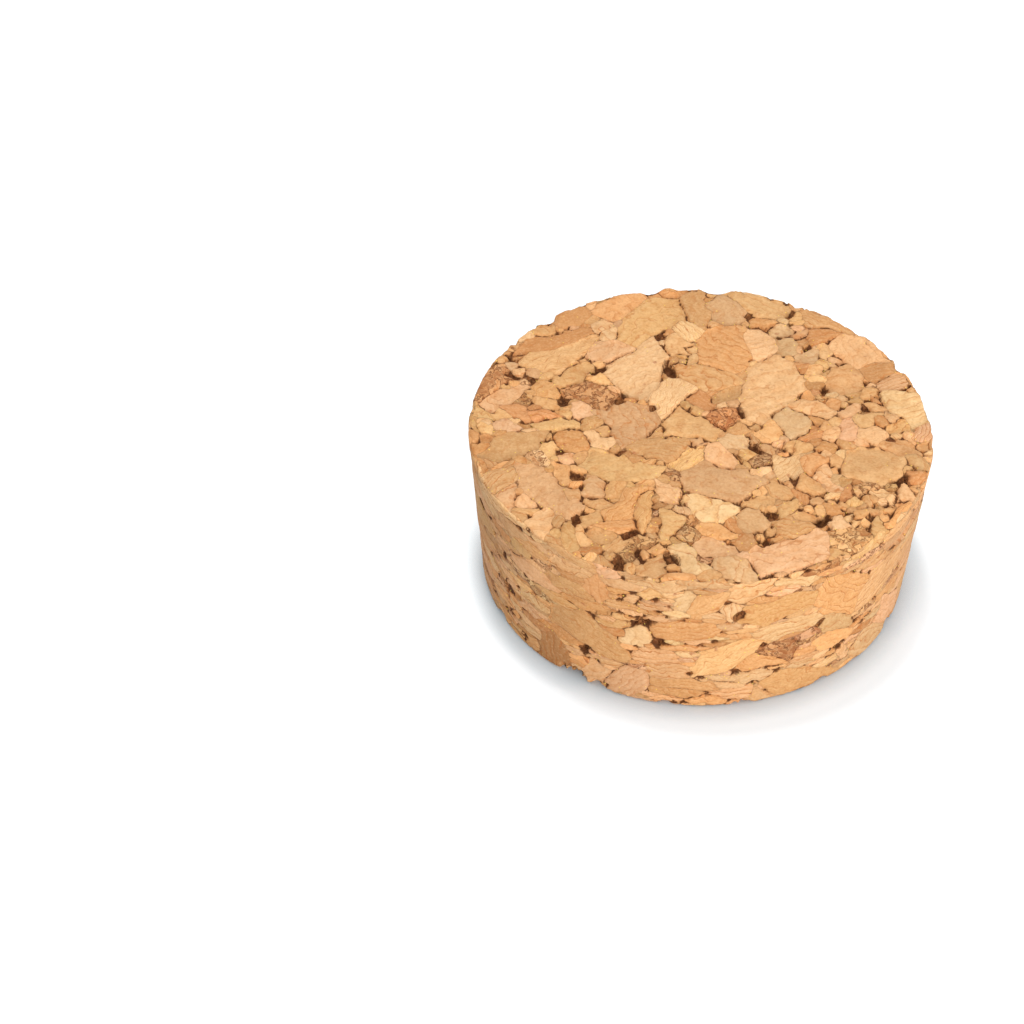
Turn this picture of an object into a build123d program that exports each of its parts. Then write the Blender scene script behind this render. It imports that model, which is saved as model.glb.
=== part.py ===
from build123d import *
import math
import os
import random
import numpy as np
from scipy.spatial import Voronoi

# A squat tapered cork stopper, pressed from cork granules and turned to a cone, all one piece.
# Origin: centre of the flat base. +Z runs up the axis to the wide face. Millimetres.

# Overall form
TOP_DIAMETER = 60.0
BASE_DIAMETER = 56.4
HEIGHT = 23.2
RIM_BREAK = 0.4

# Granules: broad flakes seen on the round faces, long thin strips seen round the wall
FLAKE_WIDTH = 6.6
STRIP_LENGTH = 9.2
STRIP_THICKNESS = 3.9
SIZE_SPREAD = 0.45

# The largest flakes of the wide face: the middle's x and y, and the width
LARGE_FLAKES = [
    (-6.5, 22.0, 9.0), (-7.5, 12.0, 9.2), (-18.5, 17.5, 6.0), (-18.0, 14.5, 6.5), (-14.5, 6.5, 5.6),
    (-9.5, 1.0, 7.7), (-3.5, 6.0, 5.8), (-1.0, -0.5, 6.0), (-5.5, -4.5, 6.0), (-10.0, -8.0, 7.3),
    (-10.0, 26.0, 6.0), (1.5, 25.5, 5.0), (4.0, 16.0, 8.6), (10.0, 26.0, 6.0), (21.5, 15.5, 6.3),
    (20.0, 9.5, 5.2), (9.5, 7.0, 9.6), (1.5, 9.5, 6.0), (26.5, 3.5, 6.0), (21.5, -8.0, 7.7),
    (2.0, -11.0, 8.2), (-0.5, -15.5, 5.6), (9.5, -24.0, 8.0), (-10.0, -15.0, 5.0),
]

# Crevices: pointed slits that stand open along some of the joints between granules. The turned
# wall is smoother than the cut faces, so its slits are finer.
FACE_OPEN_SHARE = 0.8
FACE_SLIT_WIDTH = 0.75
FACE_SLIT_DEPTH = 0.9
WALL_OPEN_SHARE = 0.6
WALL_SLIT_WIDTH = 0.6
WALL_SLIT_DEPTH = 0.6
SLIT_REACH = 0.86
RIM_MARGIN = 1.0

# Pits where granules have crumbled away. On the round faces: x, y and width. On the wall: degrees
# round from the front, height and width.
TOP_PITS = [
    (-3.5, 11.5, 2.2), (-24.5, 10.5, 1.7), (-22.0, 9.5, 1.5), (-13.0, 11.5, 1.7), (-17.5, 5.0, 2.2),
    (-10.0, 6.0, 1.7), (-4.0, 19.0, 1.5), (-6.0, 4.0, 1.3), (-16.0, -10.0, 1.8), (-10.5, -5.0, 1.3),
    (-18.5, -5.0, 1.3), (8.0, 24.0, 1.7), (13.5, 24.0, 1.5), (5.5, 2.5, 1.5), (21.5, 4.0, 1.5),
    (24.0, -2.5, 1.3), (6.5, -4.5, 1.5), (11.0, -10.5, 1.5), (8.0, -17.0, 1.8), (17.0, 7.0, 1.3),
    (25.0, -10.5, 1.8), (-11.5, -26.0, 2.0), (-9.0, -24.5, 1.7), (-16.5, -18.5, 2.3),
    (-10.0, -20.5, 1.8), (-5.0, -25.0, 1.5), (7.0, -22.0, 1.5), (14.0, -18.5, 2.4),
]
BASE_PITS = [
    (-14.0, 12.0, 2.0), (9.0, 19.5, 1.8), (19.0, 5.0, 1.6), (13.5, -13.0, 2.2), (-4.0, -19.0, 1.7),
    (-21.0, -6.5, 2.0), (3.5, 6.0, 1.5), (-8.0, -2.5, 1.6), (22.5, -8.0, 1.5), (-17.5, 18.0, 1.6),
    (1.0, 24.5, 1.8), (-12.0, -20.5, 1.5), (11.0, -1.5, 1.7), (-6.5, 19.0, 1.4), (-24.0, 3.0, 1.5),
]
WALL_PITS = [
    (-17.0, 14.5, 1.8), (4.0, 19.5, 1.5), (7.0, 17.0, 1.5), (-12.5, 11.5, 1.3), (-32.0, 6.5, 2.0),
    (13.5, 10.5, 1.8), (-4.5, 6.5, 1.3), (28.0, 12.0, 1.3), (7.5, 6.5, 1.3), (37.5, 5.5, 1.3),
    (75.0, 14.0, 1.6), (104.0, 7.0, 1.8), (128.0, 17.0, 1.4), (163.0, 11.0, 2.0), (196.0, 5.0, 1.5),
    (221.0, 15.0, 1.8), (258.0, 9.5, 1.6), (287.0, 17.0, 1.5),
]
PIT_CORNERS = 4
PIT_SLOPE = 0.85

# Granules that lie a little low in a round face
LOW_SHARE = 0.2
LOW_STEP = 0.3

# Crumbled spots along the wide rim and the base rim: degrees round from the front, and depth
TOP_CHIPS = [
    (66.0, 1.0), (84.0, 0.5), (114.0, 0.6), (131.0, 0.5), (151.0, 0.5), (173.0, 1.2), (182.0, 0.6),
    (190.0, 0.9), (204.0, 0.6), (221.0, 0.8), (233.0, 0.5), (262.0, 0.5), (335.0, 0.5),
]
BASE_CHIPS = [
    (324.0, 1.3), (332.0, 0.8), (350.0, 0.5), (10.0, 0.6), (33.0, 0.5), (62.0, 0.9), (95.0, 0.7),
    (128.0, 0.5), (160.0, 0.9), (195.0, 0.6), (228.0, 1.0), (262.0, 0.5), (295.0, 0.7),
]
CHIP_SLOPE = 2.2

# The middle of each face is whole, so that a gauge can rest on it
PLAIN_RADIUS = 1.5

# How far sizes vary about their nominal value, how far a cutting shape stands out of the
# surface, and the seed and the number of throws that lay out the granules
UNEVEN = 0.35
PROUD = 0.15
OVERSHOOT = 1.0
PATTERN = 7
THROWS = 40


def wall_radius(z):
    return (BASE_DIAMETER + (TOP_DIAMETER - BASE_DIAMETER) * z / HEIGHT) / 2


def tapered_body():
    upright = (Align.CENTER, Align.CENTER, Align.MIN)
    body = Cone(BASE_DIAMETER / 2, TOP_DIAMETER / 2, HEIGHT, align=upright)
    return chamfer(body.edges().filter_by(GeomType.CIRCLE), RIM_BREAK)


def uneven(size, dice):
    return size * (1 + dice.uniform(-UNEVEN, UNEVEN))


def hull(points):
    return ConvexPolyhedron([tuple(map(float, point)) for point in points])


def scattered(width, height, pitch, dice, placed=()):
    """Granule centres over a rectangle about the origin, each with its own elbow room."""
    spots = list(placed)
    for _ in range(round(THROWS * width * height / pitch**2)):
        x = dice.uniform(-width / 2, width / 2)
        y = dice.uniform(-height / 2, height / 2)
        room = pitch * (1 + dice.uniform(-SIZE_SPREAD, SIZE_SPREAD))
        if all(math.hypot(x - a, y - b) > (room + other) / 2 for a, b, other in spots):
            spots.append((x, y, room))
    return np.array([(x, y) for x, y, _ in spots])


class RoundFace:
    """One of the round faces. A point on it is given by its x and y."""

    open_share = FACE_OPEN_SHARE
    slit_width = FACE_SLIT_WIDTH
    slit_depth = FACE_SLIT_DEPTH

    def __init__(self, z, up, flakes):
        self.z = z
        self.up = up
        self.flakes = flakes
        self.reach = wall_radius(z)

    def point(self, spot, proud):
        return np.array([spot[0], spot[1], self.z + self.up * proud])

    def margin(self, spot):
        """How far inside the rim, or outside the plain middle, a spot lies."""
        radius = math.hypot(*spot)
        return min(self.reach - radius, radius - PLAIN_RADIUS)

    def rim_direction(self, spot):
        return np.array([-spot[1], spot[0]]) / math.hypot(*spot)

    def joints(self, dice):
        """The flakes' outlines: the drawing and its corner points."""
        side = 2 * (self.reach + FLAKE_WIDTH)
        drawing = Voronoi(scattered(side, side, FLAKE_WIDTH, dice, self.flakes))
        return drawing, drawing.vertices


class Wall:
    """The tapered wall, unrolled. A point on it is given by its way round from the front, which
    faces -Y, and its height."""

    open_share = WALL_OPEN_SHARE
    slit_width = WALL_SLIT_WIDTH
    slit_depth = WALL_SLIT_DEPTH

    def __init__(self):
        self.radius = wall_radius(HEIGHT / 2)
        self.taper = (TOP_DIAMETER - BASE_DIAMETER) / 2 / HEIGHT

    def point(self, spot, proud):
        turn = spot[0] / self.radius
        radius = wall_radius(spot[1]) + proud
        height = spot[1] - self.taper * proud
        return np.array([radius * math.sin(turn), -radius * math.cos(turn), height])

    def margin(self, spot):
        """How far a spot lies from the nearer rim, or below 0 past half a lap."""
        past = abs(spot[0]) > math.pi * self.radius
        return -1 if past else min(spot[1], HEIGHT - spot[1])

    def rim_direction(self, spot):
        return np.array([1.0, 0.0])

    def joints(self, dice):
        """The strips' outlines, laid out with even sides over three laps and then drawn long."""
        stretch = STRIP_LENGTH / STRIP_THICKNESS
        lap = 2 * math.pi * self.radius / stretch
        once = scattered(lap, HEIGHT + 2 * STRIP_THICKNESS, STRIP_THICKNESS, dice)
        laps = [once + (lap * turn, HEIGHT / 2) for turn in (-1, 0, 1)]
        drawing = Voronoi(np.concatenate(laps))
        return drawing, drawing.vertices * (stretch, 1)


def slit(place, start, end, width, depth):
    """A crevice: wide in the middle, pointed at both ends and along the bottom."""
    middle = (start + end) / 2
    along = (end - start) / np.linalg.norm(end - start)
    side = np.array([-along[1], along[0]]) * width / 2
    edge = [place.point(spot, PROUD) for spot in (start, middle + side, end, middle - side)]
    return hull(edge + [place.point(middle, -depth), place.point(middle, OVERSHOOT)])


def slits(place, drawing, corners, dice):
    """Slits along the open joints. One that would run beside a rim is left shut."""
    cuts = []
    for first, last in drawing.ridge_vertices:
        if min(first, last) < 0:
            continue
        middle = (corners[first] + corners[last]) / 2
        half = (corners[last] - corners[first]) / 2 * SLIT_REACH
        length = 2 * np.linalg.norm(half)
        shut = dice.random() > place.open_share
        if shut or length < 2 * place.slit_width or place.margin(middle) < 0:
            continue
        beside_rim = abs(half @ place.rim_direction(middle)) > length / 4
        if beside_rim and place.margin(middle) < RIM_MARGIN + length / 4:
            continue
        width = uneven(place.slit_width, dice)
        depth = uneven(place.slit_depth, dice)
        cuts.append(slit(place, middle - half, middle + half, width, depth))
    return cuts


def pit(place, spot, width, dice):
    """A small hole with a few uneven corners, narrowing to its bottom."""
    centre = np.array(spot)
    start = dice.uniform(0, 2 * math.pi)
    edge = []
    for corner in range(PIT_CORNERS):
        turn = start + 2 * math.pi * corner / PIT_CORNERS
        arm = np.array([math.cos(turn), math.sin(turn)]) * uneven(width, dice) / 2
        edge.append(place.point(centre + arm, PROUD))
    bottom = place.point(centre, -width * PIT_SLOPE)
    return hull(edge + [bottom, place.point(centre, OVERSHOOT)])


def low_granules(face, drawing, corners, dice):
    """The space over each flake that lies low: its own outline, one small step deep."""
    cuts = []
    for region in drawing.regions:
        outline = corners[[corner for corner in region if corner >= 0]]
        whole = len(region) > 2 and min(region) >= 0
        if not whole or min(face.margin(spot) for spot in outline) < RIM_BREAK:
            continue
        if face.margin(outline.mean(axis=0)) > FLAKE_WIDTH / 2 and dice.random() < LOW_SHARE:
            floor = [face.point(spot, -LOW_STEP) for spot in outline]
            cuts.append(hull(floor + [face.point(spot, OVERSHOOT) for spot in outline]))
    return cuts


def rim_chips(z, up, chips, dice):
    """Crumbled spots on a rim: small uneven notches across the edge."""
    rim = wall_radius(z)
    cuts = []
    for degrees, depth in chips:
        turn = math.radians(degrees)
        spread = CHIP_SLOPE * uneven(depth, dice) / rim
        across = RIM_BREAK + uneven(depth, dice)
        down = RIM_BREAK + uneven(depth, dice)
        spots = [
            (rim + PROUD, turn - spread, z + up * PROUD),
            (rim + PROUD, turn + spread, z + up * PROUD),
            (rim - across, turn, z + up * PROUD),
            (rim + PROUD, turn, z - up * down),
            (rim + OVERSHOOT, turn, z + up * OVERSHOOT),
        ]
        cuts.append(hull([(r * math.sin(t), -r * math.cos(t), h) for r, t, h in spots]))
    return cuts


def face_cuts(face, pits, chips, dice):
    """The cuts of a round face and its rim, group by group."""
    drawing, corners = face.joints(dice)
    yield low_granules(face, drawing, corners, dice)
    holes = [pit(face, (x, y), width, dice) for x, y, width in pits]
    yield slits(face, drawing, corners, dice) + holes
    yield rim_chips(face.z, face.up, chips, dice)


def wall_cuts(dice):
    wall = Wall()
    drawing, corners = wall.joints(dice)
    yield slits(wall, drawing, corners, dice)
    degree = math.radians(1) * wall.radius
    yield [pit(wall, (turn * degree, z), width, dice) for turn, z, width in WALL_PITS]


def stopper():
    dice = random.Random(PATTERN)
    body = tapered_body()
    wide_face = RoundFace(HEIGHT, 1, LARGE_FLAKES)
    base = RoundFace(0.0, -1, ())
    for cuts in face_cuts(wide_face, TOP_PITS, TOP_CHIPS, dice):
        body -= cuts
    for cuts in face_cuts(base, BASE_PITS, BASE_CHIPS, dice):
        body -= cuts
    for cuts in wall_cuts(dice):
        body -= cuts
    return body


os.makedirs("parts", exist_ok=True)
part = stopper()
export_step(part, "parts/stopper.step")
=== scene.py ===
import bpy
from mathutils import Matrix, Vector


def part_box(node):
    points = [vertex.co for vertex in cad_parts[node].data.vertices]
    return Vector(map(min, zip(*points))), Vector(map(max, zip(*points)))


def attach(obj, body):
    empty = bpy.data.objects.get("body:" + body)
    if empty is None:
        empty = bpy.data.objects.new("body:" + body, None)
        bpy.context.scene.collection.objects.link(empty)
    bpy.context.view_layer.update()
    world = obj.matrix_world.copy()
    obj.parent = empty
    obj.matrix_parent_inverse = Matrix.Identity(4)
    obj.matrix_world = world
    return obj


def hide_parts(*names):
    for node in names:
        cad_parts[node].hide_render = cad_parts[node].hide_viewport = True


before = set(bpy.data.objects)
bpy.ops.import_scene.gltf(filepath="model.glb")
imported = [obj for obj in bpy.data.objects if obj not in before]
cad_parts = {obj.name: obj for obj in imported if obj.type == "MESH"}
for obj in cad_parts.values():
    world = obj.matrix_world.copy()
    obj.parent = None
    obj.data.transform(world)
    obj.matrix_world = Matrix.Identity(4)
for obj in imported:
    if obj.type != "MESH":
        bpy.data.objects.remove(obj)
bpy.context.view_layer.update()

import math

import bpy
import numpy as np
from mathutils import Vector, kdtree

# A squat tapered cork stopper standing on its narrow base. It is pressed from cork granules:
# broad flakes show on the round faces, long thin strips round the wall.
# Work is in millimetres, and the mesh is written in metres.

MM = 0.001
low_corner, high_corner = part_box("stopper")
TOP_RADIUS = (high_corner.x - low_corner.x) / 2 / MM
HEIGHT = high_corner.z / MM
BASE_SHARE = 0.94
BASE_RADIUS = TOP_RADIUS * BASE_SHARE
TAPER = (TOP_RADIUS - BASE_RADIUS) / HEIGHT
MEAN_RADIUS = (TOP_RADIUS + BASE_RADIUS) / 2
GIRTH = 2 * math.pi * MEAN_RADIUS
RIM_ROUND = 0.45
MESH_STEP = 0.335

# The camera, found from the outline of the stopper in the photograph
FRAME_PIXELS = 1024
FOCAL_PIXELS = 2500
SENSOR_WIDTH = 36.0
ELEVATION = math.radians(41.61)
DISTANCE = TOP_RADIUS * 11.27
CENTRE_RIGHT = TOP_RADIUS * 0.809
CENTRE_DOWN = TOP_RADIUS * 0.202
RIGHT = np.array([1.0, 0.0, 0.0])
UP = np.array([0.0, math.sin(ELEVATION), math.cos(ELEVATION)])
BACK = np.array([0.0, -math.cos(ELEVATION), math.sin(ELEVATION)])
EYE = BACK * DISTANCE - RIGHT * CENTRE_RIGHT + UP * CENTRE_DOWN


def add_camera():
    data = bpy.data.cameras.new("camera")
    data.sensor_width = SENSOR_WIDTH
    data.lens = SENSOR_WIDTH * FOCAL_PIXELS / FRAME_PIXELS
    data.clip_start = 0.01
    camera = bpy.data.objects.new("camera", data)
    camera.location = Vector(EYE) * MM
    camera.rotation_euler = (math.pi / 2 - ELEVATION, 0, 0)
    bpy.context.scene.collection.objects.link(camera)
    bpy.context.scene.camera = camera


def sight(pixels):
    """The directions in which the camera sees some pixels of the photograph."""
    across, down = (np.array(pixels, float) - FRAME_PIXELS / 2).T / FOCAL_PIXELS
    return across[:, None] * RIGHT - down[:, None] * UP - BACK


def on_top(pixels):
    """Where the camera sees some pixels on the wide face: x and y."""
    ray = sight(pixels)
    return (EYE + ray * ((HEIGHT - EYE[2]) / ray[:, 2:]))[:, :2]


def wall_radius(z):
    return BASE_RADIUS + TAPER * z


def unrolled(points):
    """Way round from the front, and height, of some points on the wall."""
    turn = np.arctan2(points[:, 0], -points[:, 1])
    return np.stack([turn * MEAN_RADIUS, points[:, 2]], axis=1)


def on_wall(pixels):
    """Where the camera sees some pixels on the tapered wall: way round and height."""
    ray = sight(pixels)
    radius = wall_radius(EYE[2])
    a = ray[:, 0] ** 2 + ray[:, 1] ** 2 - (TAPER * ray[:, 2]) ** 2
    b = ray[:, :2] @ EYE[:2] - TAPER * ray[:, 2] * radius
    c = EYE[:2] @ EYE[:2] - radius**2
    reach = (-b - np.sqrt(np.maximum(b * b - a * c, 0))) / a
    return unrolled(EYE + ray * reach[:, None])


# Cork colours as they look under a plain white light, 0 to 255
GAMMA = 2.2
TONES = {
    "honey": (219, 169, 114),
    "tan": (209, 158, 105),
    "pale": (219, 175, 126),
    "cream": (224, 182, 130),
    "yellow": (214, 168, 112),
    "peach": (220, 170, 121),
    "pink": (218, 168, 124),
    "orange": (215, 158, 103),
    "rust": (202, 143, 92),
    "khaki": (204, 158, 103),
    "olive": (202, 154, 102),
    "brown": (194, 139, 88),
    "bark": (196, 143, 96),
    "grey": (204, 159, 111),
    "slate": (200, 154, 106),
    "pit": (146, 96, 54),
}

# How often each tone comes up among the granules that fill the gaps
TOP_SHARES = dict(
    honey=22, tan=24, pale=8, cream=3, yellow=3, peach=12, pink=4, orange=12, rust=3, khaki=8, olive=5,
    brown=7, grey=2, slate=2,
)
WALL_SHARES = dict(
    honey=18, tan=12, pale=10, cream=4, peach=26, pink=14, orange=18, rust=1, brown=5, grey=2,
)

# Pits where granules have crumbled away. On the round faces: x, y and width. On the wall: degrees
# round from the front, height and width.
TOP_PITS = [
    (-3.5, 11.5, 2.2), (-24.5, 10.5, 1.7), (-22.0, 9.5, 1.5), (-13.0, 11.5, 1.7), (-17.5, 5.0, 2.2),
    (-10.0, 6.0, 1.7), (-4.0, 19.0, 1.5), (-6.0, 4.0, 1.3), (-16.0, -10.0, 1.8), (-10.5, -5.0, 1.3),
    (-18.5, -5.0, 1.3), (8.0, 24.0, 1.7), (13.5, 24.0, 1.5), (5.5, 2.5, 1.5), (21.5, 4.0, 1.5),
    (24.0, -2.5, 1.3), (6.5, -4.5, 1.5), (11.0, -10.5, 1.5), (8.0, -17.0, 1.8), (17.0, 7.0, 1.3),
    (25.0, -10.5, 1.8), (-11.5, -26.0, 2.0), (-9.0, -24.5, 1.7), (-16.5, -18.5, 2.3),
    (-10.0, -20.5, 1.8), (-5.0, -25.0, 1.5), (7.0, -22.0, 1.5), (14.0, -18.5, 2.4),
]
BASE_PITS = [
    (-14.0, 12.0, 2.0), (9.0, 19.5, 1.8), (19.0, 5.0, 1.6), (13.5, -13.0, 2.2), (-4.0, -19.0, 1.7),
    (-21.0, -6.5, 2.0), (3.5, 6.0, 1.5), (-8.0, -2.5, 1.6), (22.5, -8.0, 1.5), (-17.5, 18.0, 1.6),
    (1.0, 24.5, 1.8), (-12.0, -20.5, 1.5), (11.0, -1.5, 1.7), (-6.5, 19.0, 1.4), (-24.0, 3.0, 1.5),
]
WALL_PITS = [
    (-17.0, 14.5, 1.8), (4.0, 19.5, 1.5), (7.0, 17.0, 1.5), (-12.5, 11.5, 1.3), (-32.0, 6.5, 2.0),
    (13.5, 10.5, 1.8), (-4.5, 6.5, 1.3), (28.0, 12.0, 1.3), (7.5, 6.5, 1.3), (37.5, 5.5, 1.3),
    (75.0, 14.0, 1.6), (104.0, 7.0, 1.8), (128.0, 17.0, 1.4), (163.0, 11.0, 2.0), (196.0, 5.0, 1.5),
    (221.0, 15.0, 1.8), (258.0, 9.5, 1.6), (287.0, 17.0, 1.5),
]

# Crumbled spots along the wide rim and the base rim: degrees round from the front, and depth
TOP_CHIPS = [
    (66.0, 1.0), (84.0, 0.5), (114.0, 0.6), (131.0, 0.5), (151.0, 0.5), (173.0, 1.2), (182.0, 0.6),
    (190.0, 0.9), (204.0, 0.6), (221.0, 0.8), (233.0, 0.5), (262.0, 0.5), (335.0, 0.5),
]
BASE_CHIPS = [
    (324.0, 1.3), (332.0, 0.8), (350.0, 0.5), (10.0, 0.6), (33.0, 0.5), (62.0, 0.9), (95.0, 0.7),
    (128.0, 0.5), (160.0, 0.9), (195.0, 0.6), (228.0, 1.0), (262.0, 0.5), (295.0, 0.7),
]

# A granule's figure. A flat flake shows wavy contour lines, a striped one is seen edge on, and a
# rough one is crumpled bark.
FLAT, STRIPED, ROUGH = 0, 1, 2

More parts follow.
